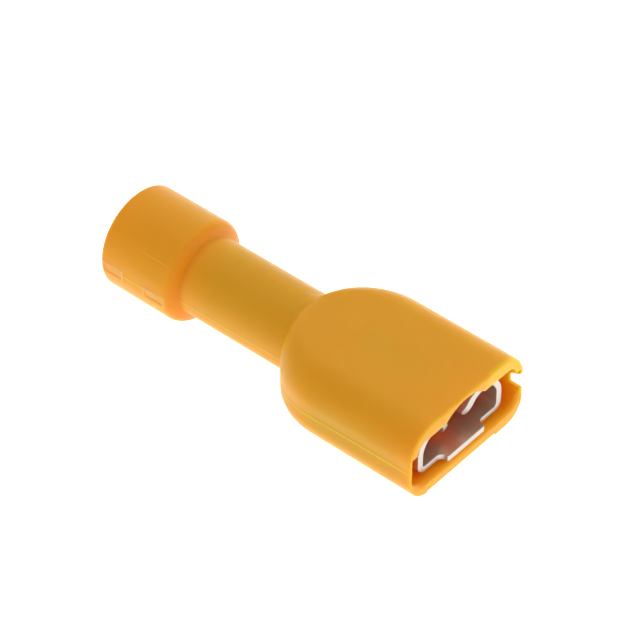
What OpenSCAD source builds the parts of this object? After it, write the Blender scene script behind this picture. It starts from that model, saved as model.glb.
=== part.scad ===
/* [Receptacle] */
// Thickness of the contact's sheet
sheet = 0.4; // [0.3:0.05:0.45]
// Width across the two rolled lobes
receptacle_w = 7.6; // [7.3:0.1:8.3]
// Height from the underside of the floor to the top of the lobes
receptacle_h = 2.95; // [2.7:0.05:3.3]
// Length of the rolled lobes
lobe_len = 6.9; // [6:0.1:7.5]
// How far the tab floor's top lies below the wire axis
floor_drop = 1.0; // [0.8:0.05:1.15]
// Radius at mid sheet of the bend from the floor up to a lobe
lower_bend_r = 0.4; // [0.35:0.05:0.8]
// Radius at mid sheet of the bend from a lobe's side to its crown
crown_r = 1.45; // [1.3:0.05:1.6]
// Radius at mid sheet of the inward curl
curl_r = 0.9; // [0.7:0.05:1]
// Flat on top of the -Y lobe before its curl starts
crown_flat = 0.05; // [0.05:0.05:0.3]
// How much further in the curl of the +Y lobe reaches
curl_shift = 0.1; // [0:0.05:0.6]
// Angle that the curl turns through before it runs straight to its edge
curl_sweep = 65; // [55:1:75]
// Gap for the tab between the floor and the curled edges
tab_gap = 0.7; // [0.6:0.05:0.85]
// Length of the lead-in that is cut off each curl at the mouth
lead_in = 0.8; // [0.4:0.1:1.6]
// Width of the floor tongue
tongue_w = 3.3; // [2.4:0.1:3.8]
// Radius of the tongue's front corners
tongue_corner_r = 0.1; // [0.05:0.05:0.2]
// Radius of the fillets where the tongue leaves the lobes
tongue_root_r = 0.4; // [0.1:0.05:0.4]
// Radius of the round dimple that clicks into the tab's hole
dimple_r = 0.8; // [0.6:0.05:1]
// Height of the dimple above the floor
dimple_rise = 0.2; // [0.1:0.05:0.25]
// Distance of the dimple behind the front of the lobes
dimple_back = 3.4; // [2.8:0.1:4]

/* [Wire barrel] */
// Bore for the stripped conductor
conductor_d = 3.4; // [3:0.1:3.6]
// Length of the crimp barrel
barrel_len = 7.2; // [6:0.1:7.6]
// Width of the butt seam along the top of the barrel
seam_gap = 0.08; // [0.04:0.02:0.2]
// Length of the trough between the lobes and the barrel
trough_len = 3.8; // [3.4:0.1:4.2]
// Width of the sheet at the narrowest place of the trough, measured flat
waist_w = 4.4; // [3.6:0.1:4.8]
// Width of the sheet where the trough joins the barrel, measured round the bend
trough_wrap = 6.8; // [5.6:0.1:8]

/* [Tab housing] */
// Length of the housing, from the mouth to the neck
housing_len = 11.7; // [11.3:0.1:12.6]
// Thickness of the side walls
side_wall = 0.68; // [0.5:0.02:0.9]
// Thickness of the roof and of the floor
roof_wall = 0.93; // [0.8:0.01:1.1]
// Radius of the long edges of the housing
edge_r = 2; // [1.4:0.1:2.2]
// Length of the rounded rear shoulders
shoulder_len = 4.1; // [3.6:0.1:4.6]
// Width of one rounded rear shoulder
shoulder_w = 3.5; // [3:0.1:3.8]
// Play beside each lobe
side_play = 0.62; // [0.3:0.01:0.7]
// Play under the contact's floor
floor_play = 0.23; // [0.1:0.01:0.3]
// Play above the lobes
roof_play = 0.27; // [0.1:0.01:0.35]
// How far the lobes stand back from the mouth
setback = 0.52; // [0.4:0.02:0.9]
// Radius of the cavity's long inside corners
cavity_r = 0.8; // [0.4:0.1:1.1]
// Plastic skin left outside each side groove
groove_skin = 0.23; // [0.2:0.01:0.35]
// Height of the side grooves
groove_h = 2.1; // [1.6:0.1:2.3]
// Width of the arched relief in the roof
arch_w = 3.4; // [2.6:0.1:4]
// Height of the arched relief
arch_h = 0.66; // [0.4:0.02:0.7]
// How far the arch lies towards -Y
arch_shift = 0.2; // [0:0.05:0.4]
// Depth of the shallow flat on the underside
relief_depth = 0.15; // [0.05:0.05:0.3]
// Depth of the notch in the mouth's side skin
notch_depth = 0.8; // [0.4:0.1:1.2]
// Height of the notch
notch_h = 1.5; // [1:0.1:1.6]

/* [Neck and bell] */
// Length of the round neck
neck_len = 8.1; // [7.4:0.1:9]
// Thickness of the neck's wall
neck_wall = 0.41; // [0.35:0.01:0.6]
// Clearance round the barrel inside the neck
barrel_fit = 0.05; // [0.03:0.01:0.08]
// Bore of the bell, for the wire's insulation
bell_d = 5.7; // [5.3:0.1:6.4]
// Thickness of the bell's wall
bell_wall = 0.52; // [0.4:0.01:0.7]
// Length of the bell's straight part
bell_len = 4.9; // [4:0.1:6]
// Radius that rounds the bell's shoulder
bell_round = 0.7; // [0.4:0.1:0.8]
// Steepness of the cone between the bell's shoulder and the neck
shoulder_angle = 65; // [55:1:80]
// Rounding of the bell's rim
rim_r = 0.18; // [0.1:0.02:0.2]

/* [Hidden] */
$fn = 96;

// Overlap that lets one cut or solid run into the next
past = 0.3;

// Thickness of a thin section, and the angle between sections round a shoulder
slice = 0.02;
shoulder_step = 7.5;

// How far ahead of the barrel the sleeve starts to grip it
grip_lead = 0.6;

// How much thinner each face of the trough is where it runs into floor and barrel
trough_inset = 0.02;

// Heights in the contact's section, measured from the wire axis
floor_top = -floor_drop;
floor_mid = floor_top - sheet / 2;
floor_low = floor_top - sheet;
crown_mid = floor_low + receptacle_h - sheet / 2;

// Bend centres of one lobe, as [across, up]
side_y = receptacle_w / 2 - sheet / 2;
lower_c = [side_y - lower_bend_r, floor_mid + lower_bend_r];
crown_c = [side_y - crown_r, crown_mid - crown_r];

// The straight end of the curl, down to the tab gap
curl_edge_z = floor_top + tab_gap;
curl_drop = curl_r * (1 - cos(curl_sweep));
curl_run = (crown_mid - curl_drop - curl_edge_z - sheet / 2 * cos(curl_sweep)) / sin(curl_sweep);

// The fillets at the tongue's root leave room for its front corners
tongue_fillet = min(tongue_root_r, setback - tongue_corner_r);

// Stations along the wire axis, with the mouth at 0 and the wire towards -X
lobe_front = -setback;
lobe_rear = lobe_front - lobe_len;
barrel_front = lobe_rear - trough_len;
barrel_rear = barrel_front - barrel_len;
shoulder_front = -(housing_len - shoulder_len);
neck_rear = -(housing_len + neck_len);

// Radii about the wire axis
barrel_in = conductor_d / 2;
barrel_mid = barrel_in + sheet / 2;
barrel_out = barrel_in + sheet;
bore_r = barrel_out + barrel_fit;
neck_r = bore_r + neck_wall;
bell_in = bell_d / 2;
bell_r = bell_in + bell_wall;

// The shoulder takes up the length that its rounding and its cone need
cone_drop = bell_r - bell_round * (1 - cos(shoulder_angle)) - neck_r;
bell_shoulder = bell_round * sin(shoulder_angle) + cone_drop / tan(shoulder_angle);
bell_front = neck_rear - bell_shoulder;
bell_rear = bell_front - bell_len;

// Section of the housing and its cavity
cavity_w = receptacle_w + 2 * side_play;
cavity_h = receptacle_h + floor_play + roof_play;
cavity_z = floor_low - floor_play + cavity_h / 2;
housing_w = cavity_w + 2 * side_wall;
housing_h = cavity_h + 2 * roof_wall;
underside = cavity_z - housing_h / 2;
arch_r = (pow(arch_w / 2, 2) + pow(arch_h, 2)) / (2 * arch_h);

// The flat on the underside lies a little towards -Y
relief_y = [-3.8, 2.7];

// The funnel behind the cavity ends where the barrel's bore starts
funnel_rear = barrel_front + grip_lead;

// Drawing helpers

// Puts a section drawn across and up onto the wire axis, between two stations
module along(x_rear, x_front)
  translate([x_rear, 0, 0])
    rotate([90, 0, 90])
      linear_extrude(x_front - x_rear)
        children();

// Turns a profile drawn as [radius, station] about the wire axis
module about_axis()
  rotate([0, 90, 0])
    rotate_extrude()
      children();

// Rectangle with round corners, about its centre
module round_rect(w, h, r) {
  square([w - 2 * r, h], center = true);
  square([w, h - 2 * r], center = true);
  for (sy = [-1, 1], sz = [-1, 1])
    translate([sy * (w / 2 - r), sz * (h / 2 - r)])
      circle(r);
}

// Points of an arc from angle a to angle b
function arc(c, r, a, b, n = 12) =
  [for (i = [0:n]) c + r * [cos(a + (b - a) * i / n), sin(a + (b - a) * i / n)]];

// Eases a share of 0 to 1 in and out
function smooth(t) = t * t * (3 - 2 * t);

// Insulating sleeve

// Half the width of the housing at a station: straight sides, then elliptical shoulders
function half_width(x) =
  housing_w / 2 - shoulder_w
  + shoulder_w * sqrt(max(0, 1 - pow(max(0, shoulder_front - x) / shoulder_len, 2)));

// One thin section of the housing, drawn by its four rounded corners
module housing_section(x) {
  w = half_width(x);
  r = min(edge_r, w);
  for (sy = [-1, 1], sz = [-1, 1])
    translate([x, sy * (w - r), cavity_z + sz * (housing_h / 2 - r)])
      rotate([0, 90, 0])
        cylinder(r = r, h = slice, $fn = 40);
}

// The sections keep the full height while their width draws in to the neck
module housing_block()
  hull() {
    housing_section(-slice);
    for (a = [0:shoulder_step:90])
      housing_section(shoulder_front - shoulder_len * sin(a));
  }

// The neck runs into the housing; the bell's shoulder is rounded and its rim softened
module neck_and_bell()
  about_axis()
    polygon(concat(
      [[0, funnel_rear], [neck_r, funnel_rear], [neck_r, neck_rear]],
      arc([bell_r - bell_round, bell_front], bell_round, shoulder_angle, 0),
      arc([bell_r - rim_r, bell_rear + rim_r], rim_r, 0, -90, 6),
      [[0, bell_rear]]));

// Room for the receptacle
module tab_cavity()
  along(lobe_rear, past)
    translate([0, cavity_z])
      round_rect(cavity_w, cavity_h, cavity_r);

// Funnel behind the cavity, which narrows to the bore round the barrel
module funnel()
  hull() {
    for (sy = [-1, 1], sz = [-1, 1])
      translate([lobe_rear, sy * (cavity_w / 2 - cavity_r), cavity_z + sz * (cavity_h / 2 - cavity_r)])
        rotate([0, 90, 0])
          cylinder(r = cavity_r, h = past, $fn = 32);
    translate([funnel_rear - past, 0, 0])
      rotate([0, 90, 0])
        cylinder(r = bore_r, h = past, $fn = 64);
  }

// Shallow grooves that thin the side walls beside the tab
module side_grooves()
  along(shoulder_front, past)
    translate([0, cavity_z])
      square([housing_w - 2 * groove_skin, groove_h], center = true);

// Arched relief along the middle of the roof
module roof_arch()
  along(shoulder_front, past)
    intersection() {
      translate([-arch_shift, cavity_z + cavity_h / 2 + arch_h - arch_r])
        circle(arch_r);
      translate([-arch_shift - arch_w / 2, cavity_z])
        square([arch_w, cavity_h]);
    }

module underside_relief()
  translate([shoulder_front, relief_y[0], underside - 1])
    cube([past - shoulder_front, relief_y[1] - relief_y[0], 1 + relief_depth]);

// Open notch in the skin outside one side groove
module mouth_notch()
  translate([-notch_depth, housing_w / 2 - side_wall, cavity_z + groove_h / 2 - notch_h])
    cube([notch_depth + past, 2 * side_wall, notch_h]);

module insulating_sleeve()
  color("goldenrod")
    difference() {
      union() {
        housing_block();
        neck_and_bell();
      }
      tab_cavity();
      funnel();
      side_grooves();
      roof_arch();
      underside_relief();
      mouth_notch();
      // Bore that grips the barrel
      about_axis()
        translate([0, neck_rear - bell_shoulder])
          square([bore_r, funnel_rear - neck_rear + bell_shoulder]);
      // Seat between the two bores
      about_axis()
        polygon([[0, neck_rear], [bore_r, neck_rear], [bell_in, bell_front], [0, bell_front]]);
      // Bell bore with a lead-in for the wire
      about_axis()
        polygon([
          [0, bell_front], [bell_in, bell_front], [bell_in, bell_rear + rim_r],
          [bell_in + rim_r, bell_rear], [bell_in + rim_r, bell_rear - past], [0, bell_rear - past]]);
    }

// Receptacle contact

// Stations along a bend of the sheet, each as [point at mid sheet, direction of its normal]
function bend(c, r, a, b, n = 16) =
  [for (i = [0:n]) let (t = a + (b - a) * i / n) [c + r * [cos(t), sin(t)], t]];

// One lobe at mid sheet, from the middle of the floor round to the edge of the curl
function lobe_path(flat) =
  let (
    curl_c = [crown_c.x - flat, crown_mid - curl_r],
    curl_end = curl_c + curl_r * [-sin(curl_sweep), cos(curl_sweep)])
  concat(
    [[[0, floor_mid], -90]],
    bend(lower_c, lower_bend_r, -90, 0),
    bend(crown_c, crown_r, 0, 90),
    bend(curl_c, curl_r, 90, 90 + curl_sweep),
    [[curl_end - curl_run * [cos(curl_sweep), sin(curl_sweep)], 90 + curl_sweep]]);

function offset_path(path, d) = [for (p = path) p[0] + d * [cos(p[1]), sin(p[1])]];

function reversed(v) = [for (i = [len(v) - 1:-1:0]) v[i]];

function mirrored(v) = [for (p = v) [-p.x, p.y]];

// Section of the receptacle: one strip of sheet from curl to curl
module receptacle_section() {
  near = lobe_path(crown_flat);
  far = lobe_path(crown_flat + curl_shift);
  polygon(concat(
    offset_path(far, sheet / 2), reversed(offset_path(far, -sheet / 2)),
    mirrored(offset_path(near, -sheet / 2)), reversed(mirrored(offset_path(near, sheet / 2)))));
}

// Lead-in cut off the front corners of both curls, seen from the side
module lead_in_cut()
  rotate([90, 0, 0])
    linear_extrude(2 * crown_c.x, center = true)
      polygon([
        [0, crown_mid], [lobe_front, crown_mid - sheet],
        [lobe_front - 0.4 * lead_in, curl_edge_z + sheet / 2],
        [lobe_front - lead_in, curl_edge_z - sheet / 4], [0, curl_edge_z - sheet / 4]]);

module lobes()
  difference() {
    along(lobe_rear, lobe_front)
      receptacle_section();
    lead_in_cut();
  }

// Half the outline of the tongue, from behind the lobes' front to the tip
function tongue_side() = concat(
  [[lobe_front - past, tongue_w / 2 + tongue_fillet]],
  arc([lobe_front + tongue_fillet, tongue_w / 2 + tongue_fillet], tongue_fillet, 180, 270, 10),
  arc([-tongue_corner_r, tongue_w / 2 - tongue_corner_r], tongue_corner_r, 90, 0, 6));

// Tongue that carries the floor forward to the mouth
module tongue()
  translate([0, 0, floor_low])
    linear_extrude(sheet)
      polygon(concat(tongue_side(), [for (p = reversed(tongue_side())) [p.x, -p.y]]));

// Round dimple pressed up out of the floor
module dimple(grow) {
  rise = dimple_rise;
  cap_r = (dimple_r * dimple_r + rise * rise) / (2 * rise) + grow;
  translate([lobe_front - dimple_back, 0, floor_top + rise - cap_r + grow])
    sphere(cap_r);
}

module floor_dimple()
  intersection() {
    dimple(0);
    translate([lobe_front - dimple_back, 0, floor_mid])
      cylinder(r = dimple_r, h = sheet);
  }

// Trough: a strip that starts flat, narrows at the waist and closes round the wire axis.
// Each section is an arc of sheet whose curvature and width change along the axis.
function trough_point(t, s, off) =
  let (
    u = min(max(t, 0), 1),
    k = max(smooth(u), 0.001) / barrel_mid,
    flat_half = side_y - lower_bend_r,
    half = u < 0.5 ? flat_half + (waist_w / 2 - flat_half) * smooth(2 * u)
                   : waist_w / 2 + (trough_wrap - waist_w) / 2 * smooth(2 * u - 1),
    mid_z = floor_mid + (-barrel_mid - floor_mid) * smooth(u),
    a = s * half * k * 180 / PI,
    r = 1 / k - off)
  [lobe_rear - t * trough_len, r * sin(a), mid_z + 1 / k - r * cos(a)];

module trough(nu = 18, nv = 20) {
  over = past / trough_len;
  skin = sheet / 2 - trough_inset;
  top = [for (i = [0:nu]) [for (j = [0:nv])
    trough_point(-over + (1 + 2 * over) * i / nu, 2 * j / nv - 1, skin)]];
  low = [for (i = [0:nu]) [for (j = [0:nv])
    trough_point(-over + (1 + 2 * over) * i / nu, 2 * j / nv - 1, -skin)]];
  ring = 2 * (nv + 1);
  points = [for (i = [0:nu]) for (j = [0:ring - 1]) j <= nv ? top[i][j] : low[i][ring - 1 - j]];
  walls = [for (i = [0:nu - 1]) for (j = [0:ring - 1])
    let (a = i * ring + j, b = i * ring + (j + 1) % ring)
    each [[a, b + ring, b], [a, a + ring, b + ring]]];
  first = [for (j = [0:nv - 1]) let (a = j, b = ring - 1 - j) each [[a, b - 1, b], [a, a + 1, b - 1]]];
  last = [for (f = first) [f[0] + nu * ring, f[2] + nu * ring, f[1] + nu * ring]];
  polyhedron(points, concat(walls, first, last));
}

// Rolled barrel with its butt seam on top
module wire_barrel()
  difference() {
    about_axis()
      translate([barrel_in, barrel_rear])
        square([sheet, barrel_len]);
    translate([barrel_rear - past, -seam_gap / 2, 0])
      cube([barrel_len + 2 * past, seam_gap, 2 * barrel_out]);
  }

module receptacle_contact()
  color("silver")
    union() {
      lobes();
      tongue();
      floor_dimple();
      trough();
      wire_barrel();
    }

insulating_sleeve();
receptacle_contact();
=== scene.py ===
# A female spade terminal for a blade: a yellow moulded sleeve round one folded metal contact.
import math

import bpy
import numpy as np
from mathutils import Matrix, Vector


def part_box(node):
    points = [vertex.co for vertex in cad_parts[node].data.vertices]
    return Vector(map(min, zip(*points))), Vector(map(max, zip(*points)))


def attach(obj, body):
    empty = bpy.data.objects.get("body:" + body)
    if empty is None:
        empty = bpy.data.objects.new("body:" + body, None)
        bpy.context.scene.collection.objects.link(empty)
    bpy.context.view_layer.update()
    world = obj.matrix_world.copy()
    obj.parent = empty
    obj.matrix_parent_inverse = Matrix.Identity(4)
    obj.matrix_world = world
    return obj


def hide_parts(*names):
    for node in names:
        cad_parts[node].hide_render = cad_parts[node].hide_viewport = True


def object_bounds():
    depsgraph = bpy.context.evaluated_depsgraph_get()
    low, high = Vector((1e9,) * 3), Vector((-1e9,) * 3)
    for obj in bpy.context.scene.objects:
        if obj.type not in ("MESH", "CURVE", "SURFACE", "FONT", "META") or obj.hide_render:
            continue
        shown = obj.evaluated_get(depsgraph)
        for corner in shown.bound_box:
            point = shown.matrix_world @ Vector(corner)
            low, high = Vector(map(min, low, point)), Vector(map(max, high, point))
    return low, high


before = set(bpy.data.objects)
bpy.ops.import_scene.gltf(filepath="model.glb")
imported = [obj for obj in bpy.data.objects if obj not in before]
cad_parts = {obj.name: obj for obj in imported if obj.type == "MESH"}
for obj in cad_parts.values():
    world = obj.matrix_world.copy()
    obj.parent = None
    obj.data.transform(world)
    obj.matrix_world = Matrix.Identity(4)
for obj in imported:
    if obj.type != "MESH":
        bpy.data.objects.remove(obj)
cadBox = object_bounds()
mm = 0.001
print("frame loaded")

# shapes are worked out in mm: X runs forward to the mouth, Y across and Z up
sleeveLow, sleeveHigh = (np.array(p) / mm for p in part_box("insulating_sleeve"))


def gridFaces(rows, columns, closeRows, closeColumns):
    # quad (i, j) joins points (i, j), (i+1, j), (i+1, j+1), (i, j+1), wrapped where a side is closed
    index = np.arange(rows * columns).reshape(rows, columns)
    if closeRows:
        index = np.vstack([index, index[:1]])
    if closeColumns:
        index = np.hstack([index, index[:, :1]])
    a, b, c, d = index[:-1, :-1], index[1:, :-1], index[1:, 1:], index[:-1, 1:]
    return np.stack([a, b, c, d], -1).reshape(-1, 4)


def outward(points, faces):
    # the sum of p0 . (p1 x p2) over a closed surface's triangles is positive when its faces point out
    p = points[faces]
    volume = np.sum(p[:, 0] * np.cross(p[:, 1], p[:, 2])) + np.sum(p[:, 0] * np.cross(p[:, 2], p[:, 3]))
    return faces if volume > 0 else faces[:, ::-1]


def pieceFromArrays(name, points, faces, node, sharpAngle, shares):
    mesh = bpy.data.meshes.new(name)
    mesh.from_pydata((points * mm).tolist(), [], faces.tolist())
    # each point's two shares are its U and V, which the materials read as tints
    corners = np.empty(len(mesh.loops), int)
    mesh.loops.foreach_get("vertex_index", corners)
    mesh.uv_layers.new(name="shares").data.foreach_set("uv", shares[corners].ravel())
    mesh.polygons.foreach_set("use_smooth", np.ones(len(mesh.polygons), bool))
    mesh.set_sharp_from_angle(angle=math.radians(sharpAngle))
    mesh.update()
    piece = bpy.data.objects.new(name, mesh)
    bpy.context.scene.collection.objects.link(piece)
    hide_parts(node)
    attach(piece, "root")
    return piece


def easeStep(value, start, end):
    # t = (value - start) / (end - start), kept in 0 to 1; step = t^2 (3 - 2 t)
    t = np.clip((value - start) / (end - start), 0, 1)
    return t * t * (3 - 2 * t)


def arcSweep(start, end, count):
    # even steps from one angle to another, given in degrees
    return np.radians(np.linspace(start, end, count))


# the sleeve's sizes in mm and degrees
sleeve = {
    # housing; the lower +Y edge has a radius of its own
    "top": 2.75, "underside": -2.56, "housingLength": 11.7, "shoulderLength": 4.1,
    "shoulderWidth": 3.5, "edgeRadius": 2.0, "lowRightRadius": 1.4,
    # where it rises out of the neck: ramp on top, fillet (top, sides) and the stretch where that fades
    "ramp": 0.45, "blend": (0.3, 0.95), "blendFade": (0.8, 2.2), "blendLoss": 0.98, "sideRise": 0.3,
    # cavity: walls, side grooves, lower pockets and the arch in the roof
    "sideWall": 0.68, "roofWall": 0.93, "cavityRadius": 0.8, "cavityLength": 7.42,
    "grooveSkin": 0.23, "grooveHeight": 2.1, "grooveCorner": 0.06, "pocketCorner": 1.3,
    "archWidth": 3.4, "archHeight": 0.66, "archShift": -0.2,
    # flat relief underneath, between two places across
    "reliefFrom": -3.5, "reliefTo": 2.7, "reliefDepth": 0.15, "reliefEdge": 0.05, "reliefSkin": (0.05, 0.15),
    # notch in the +Y skin: angles over which each side turns, and where it fades behind the mouth
    "notchDepth": 0.8, "notchLow": (-6.0, -5.5), "notchHigh": (1.8, 7.6), "notchFade": (4.0, 0.2),
    # lip: radii (top, bottom), where one passes into the other, and the most of the wall each may take
    "lipRadius": (0.16, 0.06), "lipChange": (0.0, 0.2), "lipMost": 0.4,
    "innerLip": (0.08, 0.36), "innerChange": (0.3, 1.2), "innerMost": 0.9, "lipTurnRows": 8,
    # neck, its fillet as (distance, extra radius), bell and bores
    "neckRadius": 2.56, "neckLength": 8.1, "neckFillet": ((-0.02, 0.035), (0.06, 0.008), (0.16, 0.0)),
    "bore": 2.15, "funnelRear": 10.62, "bellBore": 2.85, "bellLength": 4.9, "bellRound": 0.7,
    "shoulderAngle": 65, "rimRadius": 0.26,
    # parting line: heights along X, rise, widths of the ridge and of the dip round it
    "seamLine": ((-26.0, -22.0, -20.6, -19.6, -15.8, -12.0, -9.2, -4.5, 0.0),
                 (0.0, -0.1, -0.16, -0.33, -0.29, -0.2, -0.06, 0.08, 0.14)),
    "seamRise": 0.04, "seamWidth": (0.07, 0.5),
    # two plain marks and a faint panel on the bell, each (rear, front, low, high)
    "marks": ((-25.25, -23.75, -0.45, 0.26), (-21.95, -20.45, -0.62, 0.02)),
    "markDepth": 0.04, "markSlope": 0.08, "markRim": 0.04, "markRimWidth": 0.06, "markClear": 0.15,
    "panel": (-23.3, -20.45, 0.8, 2.04), "panelDepth": 0.03, "panelEdge": 0.04, "panelFade": (1.0, 0.6),
    # tints: pale on a mark's floor with a painted highlight on its rim (floor, rim), a painted highlight on
    # the lip (turn, face), painted light through the skin at the notch, and painted bounce light that deepens
    # the colour inside, from a little behind the mouth
    "markPaleAndRimHighlight": (0.3, 0.8), "paleEdge": 0.05, "rimHighlightWidth": 0.09, "rimHighlightReach": 0.12,
    "lipShine": (0.38, 0.08), "lipShineRow": 3.0,
    "skinShine": 0.9, "skinShineHeight": (-1.6, 0.2), "skinShineBack": (2.0, 0.8), "innerBounceBack": (0.15, 0.9),
    # spokes of the grid: even ones, those beside each corner (radians), and close spans (from, to, count)
    # across the ends of the notch, the marks and the panel's top; none stand closer than the gap
    "spokes": 188, "cornerSpokes": (-0.012, -0.006, -0.003, 0, 0.003, 0.006, 0.012), "spokeGap": 0.0012,
    "closeSpokes": ((-6.2, -5.3, 7), (3, 10, 15), (166, 192.5, 54), (140, 145.4, 10)),
    "endRows": (-0.05, -0.025, 0, 0.025, 0.05),    # rows of the grid at each end of a mark
}

mouthX, halfWide = sleeveHigh[0], sleeveHigh[1]
halfHigh = (sleeve["top"] - sleeve["underside"]) / 2
centreZ = sleeve["top"] - halfHigh
cavityHalfWide, cavityHalfHigh = halfWide - sleeve["sideWall"], halfHigh - sleeve["roofWall"]
grooveY, grooveHalf = halfWide - sleeve["grooveSkin"], sleeve["grooveHeight"] / 2

# places along X
cavityRear = mouthX - sleeve["cavityLength"]
funnelRear = mouthX - sleeve["funnelRear"]
housingRear = mouthX - sleeve["housingLength"]
shoulderFront = housingRear + sleeve["shoulderLength"]
neckRear = housingRear - sleeve["neckLength"]
sleeveRear = sleeveLow[0]
bellFront = sleeveRear + sleeve["bellLength"]
bellRadius = -sleeveLow[2]
# the cone down to the neck starts where the bell's round shoulder has turned by its angle
shoulderTurn = math.radians(sleeve["shoulderAngle"])
coneX = bellFront + sleeve["bellRound"] * math.sin(shoulderTurn)
coneRadius = bellRadius - sleeve["bellRound"] + sleeve["bellRound"] * math.cos(shoulderTurn)


def spokeAngles(s):
    # even angles round the centre, with more where an outline turns sharply or carries fine detail
    even = np.linspace(-np.pi, np.pi, s["spokes"], endpoint=False)
    corners = np.array([(grooveY, grooveHalf), (cavityHalfWide, grooveHalf),
                        (s["archWidth"] / 2 - s["archShift"], cavityHalfHigh),
                        (s["archWidth"] / 2 + s["archShift"], cavityHalfHigh),
                        (s["reliefTo"], halfHigh), (-s["reliefFrom"], halfHigh)])
    mirrored = corners[:, None] * np.array([(1, 1), (1, -1), (-1, 1), (-1, -1)])
    beside = np.arctan2(mirrored[..., 1], mirrored[..., 0])[..., None] + s["cornerSpokes"]
    spans = [arcSweep(*span) for span in s["closeSpokes"]]
    angle = np.sort(np.concatenate([even, beside.ravel(), *spans]) % (2 * np.pi))
    return angle[np.append(True, np.diff(angle) > s["spokeGap"])]


spokes = spokeAngles(sleeve)
cosA, sinA = np.cos(spokes), np.sin(spokes)


# a reach is the distance from the sleeve's centre line to a surface, one for each spoke
def roundRectReach(wide, high, corner):
    # reach = min(wide / |cos|, high / |sin|); past both corner lines, the ray's far hit on the corner circle
    c, s = np.abs(cosA), np.abs(sinA)
    flat = np.minimum(wide / np.maximum(c, 1e-9), high / np.maximum(s, 1e-9))
    cy, cz = wide - corner, high - corner
    along = cy * c + cz * s
    bend = along + np.sqrt(np.maximum(along ** 2 - cy ** 2 - cz ** 2 + corner ** 2, 0))
    return np.where((flat * c > cy) & (flat * s > cz), bend, flat)


def circleReach(radius):
    # the centre line runs lift above the circle's own: reach = -lift sin + sqrt(radius^2 - (lift cos)^2)
    return -centreZ * sinA + np.sqrt(radius ** 2 - (centreZ * cosA) ** 2)


def smoothMax(a, b, k):
    # the larger of two reaches, with a fillet where they cross:
    # max(a, b) + h^2 k / 4 with h = max(k - |a - b|, 0) / k
    h = np.maximum(k - np.abs(a - b), 0) / k
    return np.maximum(a, b) + h * h * k / 4


def housingReach(s, x):
    # half width = W - w + w sqrt(1 - u^2), u the share of the shoulder's length that lies ahead of x
    u = np.clip((shoulderFront - x) / s["shoulderLength"], 0, 1)
    wide = halfWide - s["shoulderWidth"] + s["shoulderWidth"] * np.sqrt(1 - u * u)
    soft = roundRectReach(wide, halfHigh, np.minimum(s["edgeRadius"], wide))
    tight = roundRectReach(wide, halfHigh, np.minimum(s["lowRightRadius"], wide))
    return np.where((sinA < 0) & (cosA > 0), tight, soft)


def joinReach(s, x):
    # housing and neck as one: the fillet grows to the sides with |cos|^1.5 and fades forward, and the housing
    # comes in by a ramp on top and by how far it stands out of the neck at the sides
    neck, housing = circleReach(s["neckRadius"]), housingReach(s, x)
    top, side = s["blend"]
    fade = easeStep(x, housingRear + s["blendFade"][0], housingRear + s["blendFade"][1])
    fillet = (top + (side - top) * np.abs(cosA) ** 1.5) * (1 - s["blendLoss"] * fade)
    joined = smoothMax(neck, housing, fillet)
    rise = easeStep(x, housingRear - s["ramp"], housingRear + s["ramp"])
    return neck + (joined - neck) * np.maximum(rise, np.clip((housing - neck) / s["sideRise"], 0, 1))


def mouthReach(s):
    # above the middle a groove with a ledge, below it a pocket that rounds into the floor
    groove = np.where(sinA > 0, roundRectReach(grooveY, grooveHalf, s["grooveCorner"]),
                      roundRectReach(grooveY, cavityHalfHigh, s["pocketCorner"]))
    plain = roundRectReach(cavityHalfWide, cavityHalfHigh, s["cavityRadius"])
    cavity = np.where(sinA > 0, np.maximum(plain, groove), groove)
    # the arch is a circle about (shift, lift), and a ray from the centre meets it at
    # reach = b + sqrt(b^2 - shift^2 - lift^2 + radius^2) with b = shift cos + lift sin
    radius = (s["archWidth"] ** 2 / 4 + s["archHeight"] ** 2) / (2 * s["archHeight"])
    lift = cavityHalfHigh + s["archHeight"] - radius
    b = s["archShift"] * cosA + lift * sinA
    arch = b + np.sqrt(b ** 2 - s["archShift"] ** 2 - lift ** 2 + radius ** 2)
    return np.maximum(cavity, np.where(sinA > 0, arch, 0))


def ringRows(x, reach):
    # a ring of points at each place along X: (x, reach cos, centre height + reach sin)
    x, reach = np.broadcast_arrays(x, reach)
    return np.stack([x, reach * cosA, centreZ + reach * sinA], -1)


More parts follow.
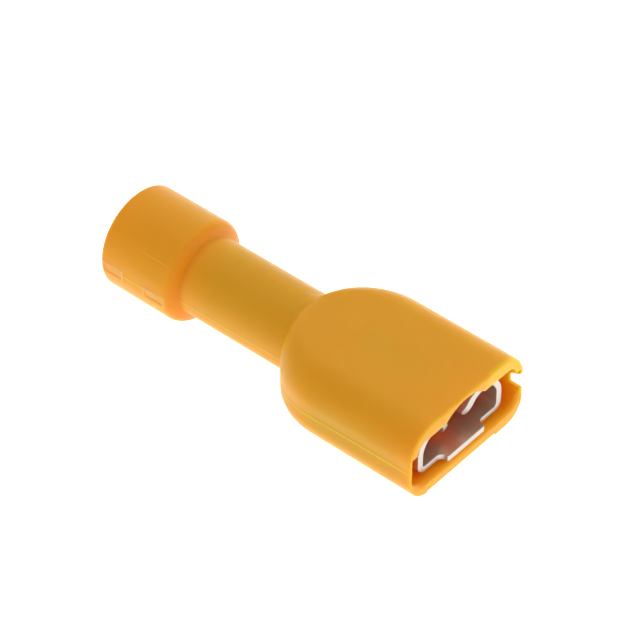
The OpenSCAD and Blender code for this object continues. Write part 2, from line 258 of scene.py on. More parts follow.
def outerRows(s):
    # rim, bell, its round shoulder, cone, fillet and neck are turned, from pairs of x and radius
    rim, r = s["rimRadius"], s["bellRound"]
    rimTurn, bend = arcSweep(-90, 0, 7)[1:], arcSweep(0, s["shoulderAngle"], 22)
    ends = np.array([box[:2] for box in (*s["marks"], s["panel"])])[..., None] + s["endRows"]
    bell = np.sort(np.append(np.linspace(sleeveRear + rim + 0.1, bellFront - 0.05, 46), ends))
    bell = bell[(bell > sleeveRear + rim + 0.05) & (bell < bellFront - 0.02)]
    cone = np.array([0.35, 0.7])
    neck = np.linspace(neckRear + 0.4, housingRear - s["ramp"] - 0.1, 14)
    turned = np.concatenate([
        np.stack([sleeveRear + rim + rim * np.sin(rimTurn), bellRadius - rim + rim * np.cos(rimTurn)], -1),
        np.stack([bell, np.full_like(bell, bellRadius)], -1),
        np.stack([bellFront + r * np.sin(bend), bellRadius - r + r * np.cos(bend)], -1),
        np.stack([coneX + (neckRear - coneX) * cone, coneRadius + (s["neckRadius"] - coneRadius) * cone], -1),
        np.array(s["neckFillet"]) + (neckRear, s["neckRadius"]),
        np.stack([neck, np.full_like(neck, s["neckRadius"])], -1)])
    # rows stand closest where the housing leaves the neck: its ramp, then even steps round its shoulder
    ramp = np.linspace(housingRear - s["ramp"], housingRear + 0.08, 12)
    shoulder = shoulderFront - s["shoulderLength"] * np.cos(arcSweep(0, 90, 44))
    join = np.append(ramp, shoulder[shoulder > housingRear + 0.1])[:, None]
    straight = np.append(np.linspace(shoulderFront + 0.4, mouthX - 0.5, 15), mouthX - 0.32)[:, None]
    return np.concatenate([ringRows(turned[:, :1], circleReach(turned[:, 1:])),
                           ringRows(join, joinReach(s, join)), ringRows(straight, housingReach(s, straight))])


def lipRows(s, mouth):
    # the outline is drawn in along its own normal while it turns into the front face
    outer, inner = ringRows(mouthX, housingReach(s, mouthX)), ringRows(mouthX, mouth)
    along = np.roll(outer, -1, 0) - np.roll(outer, 1, 0)
    normal = np.stack([0 * along[:, 0], along[:, 2], -along[:, 1]], -1)
    normal /= np.linalg.norm(normal, axis=1, keepdims=True)
    gap = np.linalg.norm(outer - inner, axis=1)
    top, low = s["lipRadius"]
    lip = np.minimum(top + (low - top) * easeStep(-sinA, *s["lipChange"]), s["lipMost"] * gap)
    a = arcSweep(0, 90, s["lipTurnRows"])[:, None]
    turned = outer - normal * (lip * (1 - np.cos(a)))[..., None]
    turned[..., 0] = mouthX - lip * (1 - np.sin(a))
    # the inner edge of the lip is small along the roof and well rounded along the floor
    small, large = s["innerLip"]
    edge = small + (large - small) * easeStep(-sinA * mouth, *s["innerChange"])
    edge = np.minimum(edge, np.maximum(gap - lip, 0) * s["innerMost"])
    across = np.array([0.25, 0.5, 0.75, 1.0])[:, None, None]
    face = turned[-1] + (ringRows(mouthX, mouth + edge) - turned[-1]) * across
    inward = ringRows(mouthX - edge * (1 - np.cos(a[1:])), mouth + edge * (1 - np.sin(a[1:])))
    return np.concatenate([turned, face, inward])


def innerRows(s, mouth):
    # the cavity, a straight funnel into the bore, and the bell's wider bore out to the rim
    plain = roundRectReach(cavityHalfWide, cavityHalfHigh, s["cavityRadius"])
    bore, bellBore, rim = circleReach(s["bore"]), circleReach(s["bellBore"]), s["rimRadius"]
    t = np.linspace(0, 1, 8)[:, None]
    return np.concatenate([
        ringRows(np.linspace(mouthX - 0.5, cavityRear + 0.03, 16)[:, None], mouth),
        ringRows(cavityRear + (funnelRear - cavityRear) * t, plain + (bore - plain) * t),
        ringRows(np.linspace(funnelRear - 0.4, neckRear, 4)[:, None], bore),
        ringRows([[(neckRear + bellFront) / 2]], (bore + bellBore) / 2),
        ringRows(np.linspace(bellFront, sleeveRear + rim, 4)[:, None], bellBore),
        ringRows([[sleeveRear + rim * 0.3], [sleeveRear]], bellBore + rim * np.array([[0.3], [0.8]]))])


def cutMouth(s, grid):
    # x, y and z are views, so the grid itself changes
    x, y, z = grid[..., 0], grid[..., 1], grid[..., 2]
    # notch: the +Y skin's spokes inside it are moved back, less and less behind the mouth
    turned = np.degrees(np.arctan2(sinA, cosA))
    notch = easeStep(turned, *s["notchLow"]) * (1 - easeStep(turned, *s["notchHigh"]))
    far, close = s["notchFade"]
    x -= s["notchDepth"] * notch * easeStep(x, mouthX - far, mouthX - close) * (cosA > 0)
    # relief: the underside is lifted, fully at the skin and not at all at the cavity's floor
    clear, skin = s["reliefSkin"]
    under = np.clip((centreZ - cavityHalfHigh - clear - z) / (s["roofWall"] - skin), 0, 1)
    under = under * (x > shoulderFront)
    edge = s["reliefEdge"]
    relief = (easeStep(y, s["reliefFrom"] - edge, s["reliefFrom"] + edge)
              * (1 - easeStep(y, s["reliefTo"] - edge, s["reliefTo"] + edge)))
    z += s["reliefDepth"] * relief * under * easeStep(x, shoulderFront, shoulderFront + 0.1)


def insideBox(box, x, z):
    # distance in from the nearest side of a box, negative outside it
    back, front, low, high = box
    return np.minimum(np.minimum(x - back, front - x), np.minimum(z - low, high - z))


def partingLine(s, x, z):
    # height above the line, and how much of the line shows: it fades at the rim and is left off the cone
    away = z - np.interp(x, *s["seamLine"])
    onCone = easeStep(x, bellFront - 0.1, bellFront + 0.1) * (x < neckRear + 0.05)
    return away, easeStep(x, sleeveRear + s["rimRadius"], sleeveRear + 0.5) * (1 - onCone)


def sideSkin(grid, lipStart):
    # the outer skin on the -Y side, which carries the parting line and the marks
    return (grid[..., 1] < -1.5) & (np.arange(len(grid)) < lipStart)[:, None]


def sleeveShares(s, grid, lipStart, innerStart):
    # U is above 0 on the marks (pale floor, painted highlight on the rim) and falls to -1 inside (painted
    # bounce light); V is above 0 on painted highlights and light (lip, notch skin, parting line), and falls
    # to -1 on the bell's shoulder, where shade is painted
    x, z = grid[..., 0], grid[..., 2]
    row = np.arange(len(grid))[:, None]
    floorPale, rimHighlight = s["markPaleAndRimHighlight"]
    within = np.maximum(*[insideBox(box, x, z) for box in s["marks"]])
    pale = floorPale * easeStep(within, -s["paleEdge"], s["paleEdge"])
    # a painted highlight lies on each mark's rim, palest on its upper and front sides
    for box in s["marks"]:
        fromRim = np.minimum(box[3] - z, box[1] - x)    # the upper and front sides are the palest
        rim = rimHighlight * np.exp(-(fromRim / s["rimHighlightWidth"]) ** 2) * (insideBox(box, x, z) > -s["rimHighlightReach"])
        pale = np.maximum(pale, rim)
    away, shown = partingLine(s, x, z)
    # the parting line's tint is a painted highlight along its ridge
    line = np.exp(-(away / s["seamWidth"][0]) ** 2) * shown * (pale < 0.05)
    # the lip's painted highlight is brightest a few rows into its turn, and its face stays a little bright
    (turn, face), peak = s["lipShine"], s["lipShineRow"]
    lip = np.exp(-((row - lipStart - peak) / peak) ** 2) * turn + (row > lipStart + 5) * face
    lip = np.where((row >= lipStart - 2) & (row < innerStart), lip, 0)
    # painted light shining through the thin skin beside the notch, near the mouth
    back, front = s["skinShineBack"]
    notchSkinLight = (s["skinShine"] * (cosA > 0.6) * easeStep(z, *s["skinShineHeight"])
                 * easeStep(x, mouthX - back, mouthX - front))
    bright = np.maximum(lip, notchSkinLight * (row >= lipStart))
    # painted shade on the bell's shoulder and cone, down to the neck
    coneShade = easeStep(x, bellFront + 0.1, coneX) * (1 - easeStep(x, neckRear - 0.1, neckRear + 0.5))
    coneShade = coneShade * (row < lipStart)
    # painted bounce light: the colour deepens inside, from a little behind the mouth
    inside = easeStep(-x, *s["innerBounceBack"]) * (row >= lipStart + s["lipTurnRows"]) * (1 - notchSkinLight)
    side = sideSkin(grid, lipStart)
    return np.stack([pale * side - inside, np.maximum(line * side, bright) - coneShade], -1).reshape(-1, 2)


def pressSide(s, grid, lipStart):
    # the -Y skin is pressed in along its radius by depth. The parting line is a ridge left in a shallow dip,
    # exp(-(d / wide)^2) - exp(-(d / narrow)^2) with d the height above it
    x, y, z = grid[..., 0], grid[..., 1], grid[..., 2]
    away, shown = partingLine(s, x, z)
    narrow, wide = s["seamWidth"]
    depth = s["seamRise"] * (np.exp(-(away / wide) ** 2) - np.exp(-(away / narrow) ** 2)) * shown
    # a mark is a recess with a raised rim, and takes the parting line's place
    for box in s["marks"]:
        d = insideBox(box, x, z)
        rim = s["markRim"] * np.exp(-(d / s["markRimWidth"]) ** 2)
        mark = s["markDepth"] * easeStep(d, 0.0, s["markSlope"]) - rim
        depth = depth + (mark - depth) * easeStep(d, -s["markClear"], 0.0)
    # the panel is sharp at its front and top and fades out towards its other two edges
    back, front, low, high = s["panel"]
    edge, (fadeX, fadeZ) = s["panelEdge"], s["panelFade"]
    depth = depth + (s["panelDepth"] * easeStep(np.minimum(front - x, high - z), -edge, edge)
                     * easeStep(x, back, back + fadeX) * easeStep(z, low, low + fadeZ))
    grid[..., 1:] *= (1 - depth * sideSkin(grid, lipStart) / np.hypot(y, z))[..., None]


def makeSleeve(s):
    # one closed grid: rings from the rim forward outside, over the lip, and back inside to the rim
    mouth = mouthReach(s)
    outer, lip = outerRows(s), lipRows(s, mouth)
    grid = np.concatenate([outer, lip, innerRows(s, mouth)])
    cutMouth(s, grid)
    shares = sleeveShares(s, grid, len(outer), len(outer) + len(lip))
    pressSide(s, grid, len(outer))
    points = grid.reshape(-1, 3)
    return points, outward(points, gridFaces(*grid.shape[:2], True, True)), shares


sleevePoints, sleeveFaces, sleeveTints = makeSleeve(sleeve)
print("sleeve surface", len(sleeveFaces), "quads")
sleevePiece = pieceFromArrays("moulded_sleeve", sleevePoints, sleeveFaces,
                              "insulating_sleeve", 40, sleeveTints)


# the contact's sizes in mm and degrees; tabGap and leadIn are for the -Y and then the +Y lobe
contact = {
    "sheet": 0.4, "width": 7.6, "height": 2.95, "lobeLength": 6.9, "floorDrop": 1.0, "setback": 0.52,
    # section of a lobe
    "lowerBend": 0.4, "crownRadius": 1.45, "crownFlat": 0.05, "curlRadius": 0.9, "curlSweep": 65,
    "curlShift": 0.1, "tabGap": (0.7, 0.86), "nearShift": 0.12, "nearFade": (1.8, 3.3),
    # front edge: lead-in of the curls, slant of the cut (+Y lobe, -Y wall; on the +Y wall it grows from
    # bevelLow over the heights of bevelRise) and the tongue
    "leadIn": (0.62, 0.36), "leadFade": 0.6, "frontFrom": 0.55,
    "bevel": (0.13, 0.05), "bevelLow": 0.04, "bevelRise": (0.2, 1.2), "bevelFrom": 0.8,
    "tongueHalf": 1.65, "tongueCorner": 0.1, "tongueFillet": 0.4,
    "edgeRound": 0.045, "endThin": 0.55, "dimpleRadius": 0.8, "dimpleRise": 0.2, "dimpleBack": 3.4,
    # trough and wire barrel, whose sheet is a hair thinner than the lobes'
    "troughLength": 3.8, "waist": 4.4, "wrap": 6.8,
    "barrelLength": 7.2, "barrelBore": 1.7, "barrelCorner": 0.4, "barrelThin": 0.02, "seam": 0.08,
    # how far the trough reaches into the lobes, and the rows where the barrel's front corners turn
    "overlap": 0.3, "cornerRows": (0.0, 0.04, 0.1, 0.18, 0.28, 0.4),
}


def lobePath(c, crownFlat, tabGap):
    # one lobe at mid sheet: floor, bend up, bend over, short flat, curl down and a straight end;
    # each part is centre + radius (cos t, sin t), and t is the direction of the sheet's outer normal
    t = c["sheet"]
    floorMid = -c["floorDrop"] - t / 2
    sideY = c["width"] / 2 - t / 2
    crownMid = -c["floorDrop"] - t + c["height"] - t / 2
    lower = np.array([sideY - c["lowerBend"], floorMid + c["lowerBend"]])
    crown = np.array([sideY - c["crownRadius"], crownMid - c["crownRadius"]])
    curl = np.array([crown[0] - crownFlat, crownMid - c["curlRadius"]])
    # steps across the floor stand closest round the tongue's corner and root fillet
    turn = arcSweep(0, 90, 9)
    half, corner, fillet = c["tongueHalf"], c["tongueCorner"], c["tongueFillet"]
    y = np.concatenate([np.linspace(0, half - corner, 16)[:-1], half - corner + corner * np.sin(turn),
                        half + fillet * (1 - np.cos(turn))[1:],
                        np.linspace(half + fillet, lower[0], 12)[1:-1]])
    parts = [np.stack([y, np.full_like(y, floorMid), np.full_like(y, -np.pi / 2)], -1)]
    for centre, radius, start, stop, count in ((lower, c["lowerBend"], -90, 0, 18),
                                               (crown, c["crownRadius"], 0, 90, 22),
                                               (curl, c["curlRadius"], 90, 90 + c["curlSweep"], 16)):
        a = arcSweep(start, stop, count)
        parts.append(np.stack([centre[0] + radius * np.cos(a), centre[1] + radius * np.sin(a), a], -1))
    # the straight end runs down until its edge stands the tab's gap above the floor
    end = parts[-1][-1]
    sweep = math.radians(c["curlSweep"])
    run = (end[1] - (-c["floorDrop"] + tabGap) - t / 2 * math.cos(sweep)) / math.sin(sweep)
    along = np.linspace(0, run, 12)[1:]
    parts.append(np.stack([end[0] - along * math.cos(sweep), end[1] - along * math.sin(sweep),
                           np.full_like(along, end[2])], -1))
    path = np.concatenate(parts)
    return path[np.append(True, np.hypot(*np.diff(path[:, :2], axis=0).T) > 1e-6)]


def sheetLoop(lengthCount, edge, half):
    # a loop round the sheet's long section as (share along, distance past the end, side): share runs 0 to 1,
    # side from -half to half, and the ends are rounded by edge
    share = np.linspace(0, 1, lengthCount)
    turn = arcSweep(0, 90, 5)[1:]
    past, side = edge * np.sin(turn), half - edge + edge * np.cos(turn)
    top = np.stack([share, np.zeros_like(share), np.full_like(share, half)], -1)
    front = np.stack([np.ones(4), past, side], -1)
    back = np.stack([np.zeros(4), -past, -side], -1)
    flip = [1, 1, -1]
    return np.concatenate([top, front, front[::-1] * flip, top[::-1] * flip, back, back[::-1] * flip])


def stripSurface(grid):
    # the strip's skin, and at each end a cap of quads between the two halves of its loop
    rows, columns = grid.shape[:2]
    a = np.arange(columns // 2 - 1)
    b = columns - 1 - a
    cap = np.stack([a, a + 1, b - 1, b], -1)
    faces = np.concatenate([gridFaces(rows, columns, False, True), cap[:, ::-1], cap + (rows - 1) * columns])
    points = grid.reshape(-1, 3)
    return points, outward(points, faces)


def makeLobes(c):
    right = lobePath(c, c["crownFlat"] + c["curlShift"], c["tabGap"][1])
    left = lobePath(c, c["crownFlat"], c["tabGap"][0])[::-1][:-1].copy()
    left[:, 0] *= -1
    left[:, 2] = np.pi - left[:, 2]
    path = np.concatenate([left, right])
    arc = np.append(0, np.cumsum(np.hypot(*np.diff(path[:, :2], axis=0).T)))
    fromEnd = np.minimum(arc, arc[-1] - arc)[:, None]
    path[:, 0] += c["nearShift"] * easeStep(-path[:, 0], *c["nearFade"])    # the -Y wall stands further in
    y, z, t = path[:, :1], path[:, 1:2], path[:, 2:3]
    front = mouthX - c["setback"]
    rear = front - c["lobeLength"]
    half = c["sheet"] / 2
    # front edge: with h the distance outside the tongue's flank, the tip's corner is
    # setback - corner + sqrt(corner^2 - (h + corner)^2) and the root's fillet r - sqrt(r^2 - (h - r)^2)
    isFloor = z < -c["floorDrop"]
    h = np.abs(y) - c["tongueHalf"]
    corner, fillet = c["tongueCorner"], c["tongueFillet"]
    tip = c["setback"] - corner + np.sqrt(np.maximum(corner ** 2 - np.maximum(h + corner, 0) ** 2, 0))
    root = fillet - np.sqrt(np.maximum(fillet ** 2 - np.minimum(h - fillet, 0) ** 2, 0))
    tongue = np.where(h <= 1e-9, tip, root) * isFloor
    # the curls' front corners are cut back by lead * exp(-distance from the end / fade)
    cut = np.where(y < 0, *c["leadIn"]) * np.exp(-fromEnd / c["leadFade"]) * (1 - isFloor)
    loop = sheetLoop(70, c["edgeRound"], half)
    share, past, side = loop[:, 0], loop[:, 1], loop[:, 2]
    x = rear + c["edgeRound"] + share * (c["lobeLength"] - 2 * c["edgeRound"]) + past
    x = x[None, :] + (tongue - cut) * easeStep(share, c["frontFrom"], 1.0)[None, :]
    # the cut of upright sheet is slanted: its -Y face stands back by bevel |cos t|
    across = np.cos(t)
    full, near = c["bevel"]
    crown = c["bevelLow"] + (full - c["bevelLow"]) * easeStep(z, *c["bevelRise"])
    bevel = np.where(y > 0, np.where(across < 0, full, crown), near * (across < 0))
    x = x - (bevel * np.abs(across) * (0.5 - np.sign(across) * side / (2 * half))
             * easeStep(share, c["bevelFrom"], 1.0))
    # at the curls' ends the thickness follows a quarter circle down to its thin share
    end = np.clip(fromEnd / c["edgeRound"], 0, 1)
    n = side[None, :] * (c["endThin"] + (1 - c["endThin"]) * np.sqrt(1 - (1 - end) ** 2))
    # the dimple lifts the floor by rise (1 - (d / r)^2)^1.5 inside its radius
    d2 = ((x - (front - c["dimpleBack"])) ** 2 + y ** 2) / c["dimpleRadius"] ** 2
    lift = c["dimpleRise"] * np.clip(1 - d2, 0, 1) ** 1.5 * isFloor
    grid = np.stack([x, y + n * np.cos(t), z + n * np.sin(t) + lift], -1)
    # U is the share of the sheet's length, 1 on the cut front edge
    shares = np.broadcast_to(share, grid.shape[:2]).ravel()
    return (*stripSurface(grid), np.stack([shares, 0 * shares], -1))


def makeBarrel(c):
    # width coordinate w runs over +-half(x); curvature k(x) grows from flat to 1 / barrel radius:
    # (y, z) = (r sin(k w), centre - r cos(k w)) with r = 1 / k
    half = c["sheet"] / 2
    mid = c["barrelBore"] + half
    floorMid = -c["floorDrop"] - half
    lobeRear = mouthX - c["setback"] - c["lobeLength"]
    barrelFront = lobeRear - c["troughLength"]
    x = np.concatenate([np.linspace(lobeRear + c["overlap"], barrelFront + 0.05, 34),
                        barrelFront - np.array(c["cornerRows"]),
                        np.linspace(barrelFront - 0.6, barrelFront - c["barrelLength"], 24)])
    u = np.clip((lobeRear - x) / c["troughLength"], 0, 1)
    s = easeStep(u, 0, 1)
    k = np.maximum(s, 0.001) / mid    # never quite flat, so r stays finite
    # the trough narrows to its waist and widens to its wrap, and the barrel takes the full turn
    flatHalf = c["width"] / 2 - half - c["lowerBend"]
    fullHalf = np.pi * mid - c["seam"] / 2
    wide = np.where(u < 0.5, flatHalf + (c["waist"] / 2 - flatHalf) * easeStep(u, 0, 0.5),
                    c["waist"] / 2 + (c["wrap"] - c["waist"]) / 2 * easeStep(u, 0.5, 1))
    corner = np.clip((barrelFront - x) / c["barrelCorner"], 0, 1)
    wide = wide + (fullHalf - wide) * np.sqrt(np.clip(corner * (2 - corner), 0, 1)) * (x <= barrelFront)
    midZ = floorMid + (-mid - floorMid) * s
    loop = sheetLoop(96, c["edgeRound"], half - c["barrelThin"])
    across, past, side = loop[:, 0] * 2 - 1, loop[:, 1], loop[:, 2]
    w = across[None, :] * (wide[:, None] - c["edgeRound"]) + np.sign(across)[None, :] * np.abs(past)[None, :]
    a = k[:, None] * w
    r = 1 / k[:, None] - side[None, :]
    x = np.broadcast_to(x[:, None], a.shape)
    return stripSurface(np.stack([x, r * np.sin(a), midZ[:, None] + 1 / k[:, None] - r * np.cos(a)], -1))


lobePoints, lobeFaces, lobeTints = makeLobes(contact)
barrelPoints, barrelFaces = makeBarrel(contact)
contactPoints = np.concatenate([lobePoints, barrelPoints])
contactFaces = np.concatenate([lobeFaces, barrelFaces + len(lobePoints)])
contactTints = np.concatenate([lobeTints, np.zeros((len(barrelPoints), 2))])
print("contact surface", len(contactFaces), "quads")
contactPiece = pieceFromArrays("folded_contact", contactPoints, contactFaces,
                               "receptacle_contact", 50, contactTints)


def shaderNode(tree, kind, place, **values):
    node = tree.nodes.new(kind)
    node.location = place
    for key, value in values.items():
        setattr(node, key, value)
    return node


def mapRange(tree, place, source, fromRange, toRange=(0.0, 1.0), **values):
    # carries a socket's value from one range to another and gives the socket that comes out
    node = shaderNode(tree, "ShaderNodeMapRange", place, **values)
    for socket, value in zip(("From Min", "From Max", "To Min", "To Max"), (*fromRange, *toRange)):
        node.inputs[socket].default_value = value
    tree.links.new(source, node.inputs["Value"])
    return node.outputs["Result"]


def makeGrainGroup():
    # two layers of noise: a slow one for patches and a fine one for grain, mixed into the mask by a share
    tree = bpy.data.node_groups.new("surfaceGrain", "ShaderNodeTree")
    for name, kind in (("Vector", "NodeSocketVector"), ("Patch Scale", "NodeSocketFloat"),
                       ("Grain Scale", "NodeSocketFloat"), ("Patch Share", "NodeSocketFloat")):
        tree.interface.new_socket(name=name, in_out="INPUT", socket_type=kind)
    for name in ("Mask", "Grain"):
        tree.interface.new_socket(name=name, in_out="OUTPUT", socket_type="NodeSocketFloat")
    link = tree.links.new
    start = shaderNode(tree, "NodeGroupInput", (-600, 0))
    end = shaderNode(tree, "NodeGroupOutput", (400, 0))
    patch = shaderNode(tree, "ShaderNodeTexNoise", (-300, 150))
    grain = shaderNode(tree, "ShaderNodeTexNoise", (-300, -150))
    mix = shaderNode(tree, "ShaderNodeMix", (0, 100))
    for texture, scale, detail in ((patch, "Patch Scale", 3), (grain, "Grain Scale", 2)):
        texture.inputs["Detail"].default_value = detail
        link(start.outputs["Vector"], texture.inputs["Vector"])
        link(start.outputs[scale], texture.inputs["Scale"])
    link(start.outputs["Patch Share"], mix.inputs["Factor"])
    link(grain.outputs["Fac"], mix.inputs["A"])
    link(patch.outputs["Fac"], mix.inputs["B"])
    link(mix.outputs["Result"], end.inputs["Mask"])
    link(grain.outputs["Fac"], end.inputs["Grain"])
    return tree


grainGroup = makeGrainGroup()

# how both materials read the grain group: ranges of its mask, and the strength of the bump
finish = {"patchShare": 0.7, "colourRange": (0.35, 0.65), "roughRange": (0.3, 0.7), "bumpStrength": 0.5}

# "shader" holds what is even all over, by socket; scales are per metre and the bump's distance is in mm
plastic = {
    "colour": (0.985, 0.41, 0.004), "patchColour": (0.99, 0.43, 0.006),
    "roughness": (0.34, 0.42), "patchScale": 420, "grainScale": 5200, "stretch": (1, 1, 1), "bump": 0.012,
    # tints: pale marks with a painted highlight on their rims, a painted highlight on the parting line, lip
    # and notch skin, painted bounce light inside, and painted shade on the bell's shoulder
    "markPaleAndHighlightTint": (0.98, 0.6, 0.24), "highlightTint": (1.0, 0.56, 0.01),
    "innerBounceTint": (1.0, 0.34, 0.002), "coneShadeTint": (0.86, 0.35, 0.002),
    "shader": {"Metallic": 0.0, "Specular IOR Level": 0.25, "Subsurface Weight": 1.0,
               "Subsurface Radius": (1.0, 0.55, 0.11), "Subsurface Scale": 0.0006},
}

# the brass shows a painted reflection of the orange plastic, warmer inside between two places in mm, and
# duller on its cut edge
metal = {
    "colour": (0.82, 0.73, 0.65), "patchColour": (0.70, 0.58, 0.48),
    "roughness": (0.38, 0.5), "patchScale": 600, "grainScale": 2500, "stretch": (0.12, 1, 1), "bump": 0.01,
    "plasticReflectionTint": (1.0, 0.52, 0.34), "plasticReflectionRange": (-0.8, -2.2),
    "cutTint": (0.55, 0.52, 0.49), "cutRange": (0.995, 0.9999),
    "shader": {"Metallic": 1.0},
}


def finishMaterial(name, values):
    # Base Color, Roughness and bump follow the grain group
    material = bpy.data.materials.new(name)
    material.use_nodes = True
    tree = material.node_tree
    link = tree.links.new
    shader = tree.nodes["Principled BSDF"]
    for socket, value in values["shader"].items():
        shader.inputs[socket].default_value = value
    place = shaderNode(tree, "ShaderNodeTexCoord", (-1300, 0))
    mapping = shaderNode(tree, "ShaderNodeMapping", (-1100, 0))
    mapping.inputs["Scale"].default_value = values["stretch"]
    group = shaderNode(tree, "ShaderNodeGroup", (-850, 0), node_tree=grainGroup)
    group.inputs["Patch Scale"].default_value = values["patchScale"]
    group.inputs["Grain Scale"].default_value = values["grainScale"]
    group.inputs["Patch Share"].default_value = finish["patchShare"]
    link(place.outputs["Object"], mapping.inputs["Vector"])
    link(mapping.outputs["Vector"], group.inputs["Vector"])
    colour = shaderNode(tree, "ShaderNodeMix", (-500, 200), data_type="RGBA")
    colour.inputs["A"].default_value = (*values["colour"], 1)
    colour.inputs["B"].default_value = (*values["patchColour"], 1)
    link(mapRange(tree, (-650, 250), group.outputs["Mask"], finish["colourRange"]), colour.inputs["Factor"])
    rough = mapRange(tree, (-500, -50), group.outputs["Mask"], finish["roughRange"], values["roughness"])
    bump = shaderNode(tree, "ShaderNodeBump", (-300, -300))
    bump.inputs["Strength"].default_value = finish["bumpStrength"]
    bump.inputs["Distance"].default_value = values["bump"] * mm
    link(group.outputs["Grain"], bump.inputs["Height"])
    link(colour.outputs["Result"], shader.inputs["Base Color"])
    link(rough, shader.inputs["Roughness"])
    link(bump.outputs["Normal"], shader.inputs["Normal"])
    return material


def splitVector(tree, output, place):
    split = shaderNode(tree, "ShaderNodeSeparateXYZ", place)
    start = shaderNode(tree, "ShaderNodeTexCoord", (place[0] - 200, place[1]))
    tree.links.new(start.outputs[output], split.inputs["Vector"])
    return split.outputs


def layTints(material, tints):
    # lays each tint over the base colour, by the share that comes out of the socket beside it
    tree = material.node_tree
    shader = tree.nodes["Principled BSDF"]
    for count, (share, tint) in enumerate(tints):
        mix = shaderNode(tree, "ShaderNodeMix", (-300 + 150 * count, 450), data_type="RGBA")
        mix.inputs["B"].default_value = (*tint, 1)
        tree.links.new(share, mix.inputs["Factor"])
        tree.links.new(shader.inputs["Base Color"].links[0].from_socket, mix.inputs["A"])
        tree.links.new(mix.outputs["Result"], shader.inputs["Base Color"])


def tintPlastic(material, values):
    # each tint follows one half of U or V, from 0 out to 1 or -1
    tree = material.node_tree
    share = splitVector(tree, "UV", (-900, 500))
    halves = (("X", 1.0, "markPaleAndHighlightTint"), ("X", -1.0, "innerBounceTint"),
              ("Y", 1.0, "highlightTint"), ("Y", -1.0, "coneShadeTint"))
    layTints(material, [(mapRange(tree, (-700, 400 + 150 * count), share[axis], (0.0, limit)), values[tint])
                        for count, (axis, limit, tint) in enumerate(halves)])


def tintMetal(material, values):
    # a painted reflection of the orange plastic, warmer from the mouth inward along X, and duller where U
    # reaches 1 on the cut edges
    tree = material.node_tree
    plasticReflectionRange = [place * mm for place in values["plasticReflectionRange"]]
    inner = mapRange(tree, (-700, 700), splitVector(tree, "Object", (-900, 700))["X"], plasticReflectionRange,
                     interpolation_type="SMOOTHSTEP")
    cut = mapRange(tree, (-700, 450), splitVector(tree, "UV", (-900, 450))["X"], values["cutRange"],
                   interpolation_type="SMOOTHSTEP")
    layTints(material, [(inner, values["plasticReflectionTint"]), (cut, values["cutTint"])])


plasticMaterial = finishMaterial("yellow sleeve plastic", plastic)
tintPlastic(plasticMaterial, plastic)
sleevePiece.data.materials.append(plasticMaterial)

metalMaterial = finishMaterial("tinned brass sheet", metal)
tintMetal(metalMaterial, metal)
contactPiece.data.materials.append(metalMaterial)
print("materials made")


# light: the world is bright in a wide cap overhead and dim elsewhere; the floor glows as a lit table would
# (tableGlow), and by whiteGlow more for the rays that see it white
studio = {
    "capCentre": (-0.15, 0.55, 0.82), "capEdge": (0.45, 0.75), "dim": 0.42, "bright": 0.94,
    "floorReach": 0.6, "floorColour": (0.9, 0.9, 0.9), "tableGlow": 0.68, "whiteGlow": 0.35,
}


def seenWhite(tree):
    # 1 for camera, glossy and transmission rays, 0 for the rays that carry light to matt surfaces
    path = shaderNode(tree, "ShaderNodeLightPath", (-1100, -350))
    first = shaderNode(tree, "ShaderNodeMath", (-900, -350), operation="MAXIMUM")
    both = shaderNode(tree, "ShaderNodeMath", (-750, -400), operation="MAXIMUM")
    tree.links.new(path.outputs["Is Camera Ray"], first.inputs[0])
    tree.links.new(path.outputs["Is Glossy Ray"], first.inputs[1])
    tree.links.new(first.outputs[0], both.inputs[0])
    tree.links.new(path.outputs["Is Transmission Ray"], both.inputs[1])
    return both.outputs[0]


def makeFloor(values):
    height, reach = cadBox[0][2], values["floorReach"]
    mesh = bpy.data.meshes.new("floor")
    corners = [(-reach, -reach), (reach, -reach), (reach, reach), (-reach, reach)]
    mesh.from_pydata([(x, y, height) for x, y in corners], [], [(0, 1, 2, 3)])
    floor = bpy.data.objects.new("floor", mesh)
    bpy.context.scene.collection.objects.link(floor)
    material = bpy.data.materials.new("pale floor")
    material.use_nodes = True
    tree = material.node_tree
    link = tree.links.new
    tree.nodes.remove(tree.nodes["Principled BSDF"])
    diffuse = shaderNode(tree, "ShaderNodeBsdfDiffuse", (-400, 100))
    diffuse.inputs["Color"].default_value = (*values["floorColour"], 1)
    glow = shaderNode(tree, "ShaderNodeEmission", (-400, -100))
    levels = (values["tableGlow"], values["tableGlow"] + values["whiteGlow"])
    link(mapRange(tree, (-600, -200), seenWhite(tree), (0.0, 1.0), levels), glow.inputs["Strength"])
    both = shaderNode(tree, "ShaderNodeAddShader", (-150, 0))
    link(diffuse.outputs[0], both.inputs[0])
    link(glow.outputs[0], both.inputs[1])
    link(both.outputs[0], tree.nodes["Material Output"].inputs["Surface"])
    mesh.materials.append(material)


def makeWorld(values):
    # strength follows the cosine between a direction and the cap's centre, and is 1 where white is seen
    world = bpy.data.worlds.new("studio")
    bpy.context.scene.world = world
    world.use_nodes = True
    tree = world.node_tree
    link = tree.links.new
    background = tree.nodes["Background"]
    background.inputs["Color"].default_value = (1, 1, 1, 1)
    place = shaderNode(tree, "ShaderNodeTexCoord", (-1100, 100))
    toCap = shaderNode(tree, "ShaderNodeVectorMath", (-900, 100), operation="DOT_PRODUCT")
    toCap.inputs[1].default_value = Vector(values["capCentre"]).normalized()
    link(place.outputs["Generated"], toCap.inputs[0])
    level = mapRange(tree, (-700, 100), toCap.outputs["Value"], values["capEdge"],
                     (values["dim"], values["bright"]), interpolation_type="SMOOTHSTEP")
    strength = shaderNode(tree, "ShaderNodeMix", (-400, 0))
    strength.inputs["B"].default_value = 1.0
    link(seenWhite(tree), strength.inputs["Factor"])
    link(level, strength.inputs["A"])
    link(strength.outputs["Result"], background.inputs["Strength"])


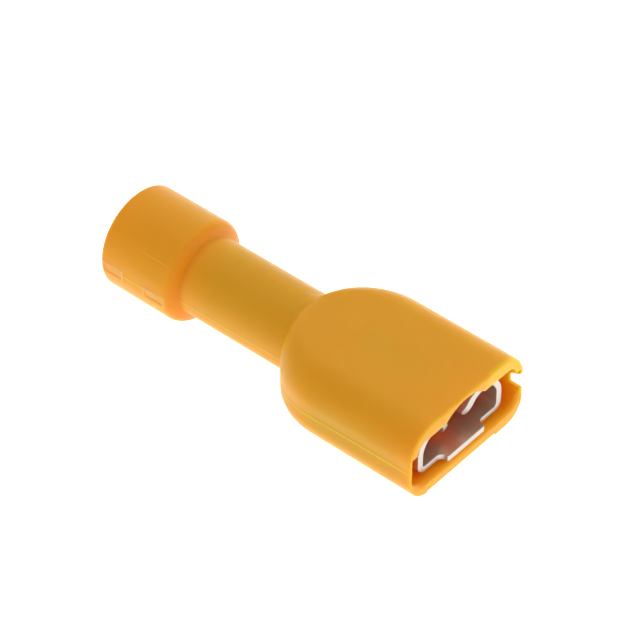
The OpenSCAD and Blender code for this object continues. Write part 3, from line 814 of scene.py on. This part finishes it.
# each lamp is aimed at a point in mm and stands off it in metres; the spot's cone is in degrees
lamps = {
    "front lamp": {"kind": "AREA", "aim": (-12.0, 0.0, 0.0), "away": (1.0, 0.1, 0.2), "distance": 0.30,
                   "size": 0.20, "watts": 0.10},
    "mouth lamp": {"kind": "SPOT", "aim": (-1.5, 5.0, 0.2), "away": (0.1, 1.0, 0.03), "distance": 0.30,
                   "size": 0.02, "watts": 3.5, "cone": 2.2},
}


def makeLamp(name, values):
    data = bpy.data.lights.new(name, values["kind"])
    if values["kind"] == "AREA":
        data.shape = "DISK"
        data.size = values["size"]
    else:
        data.shadow_soft_size = values["size"] / 2
        data.spot_size = math.radians(values["cone"])
        data.spot_blend = 1.0
    data.energy = values["watts"]
    lamp = bpy.data.objects.new(name, data)
    away = Vector(values["away"]).normalized()
    lamp.location = Vector(values["aim"]) * mm + away * values["distance"]
    lamp.rotation_mode = "QUATERNION"
    lamp.rotation_quaternion = (-away).to_track_quat("-Z", "Y")
    bpy.context.scene.collection.objects.link(lamp)


# the camera looks at a point behind the mouth, moved right and up in its own view, in metres
view = {
    "azimuth": 40.801, "elevation": 42.902, "distance": 0.180, "lens": 173.2227, "clip": (0.01, 10),
    "aimBack": 0.012, "aimRight": 0.000745, "aimUp": 0.000813,
}


def makeCamera(values):
    a, e = math.radians(values["azimuth"]), math.radians(values["elevation"])
    right = Vector((math.cos(a), math.sin(a), 0))
    back = Vector((math.sin(a) * math.cos(e), -math.cos(a) * math.cos(e), math.sin(e)))
    up = back.cross(right)
    aim = Vector((cadBox[1][0] - values["aimBack"], 0, 0)) + right * values["aimRight"] + up * values["aimUp"]
    data = bpy.data.cameras.new("camera")
    data.lens = values["lens"]
    data.clip_start, data.clip_end = values["clip"]
    camera = bpy.data.objects.new("camera", data)
    camera.matrix_world = Matrix((
        (right.x, up.x, back.x, 0), (right.y, up.y, back.y, 0), (right.z, up.z, back.z, 0), (0, 0, 0, 1)))
    camera.location = aim + back * values["distance"]
    bpy.context.scene.collection.objects.link(camera)
    bpy.context.scene.camera = camera


makeFloor(studio)
makeWorld(studio)
for lampName, lampValues in lamps.items():
    makeLamp(lampName, lampValues)
makeCamera(view)
bpy.context.scene.view_settings.view_transform = "Standard"
print("studio ready")
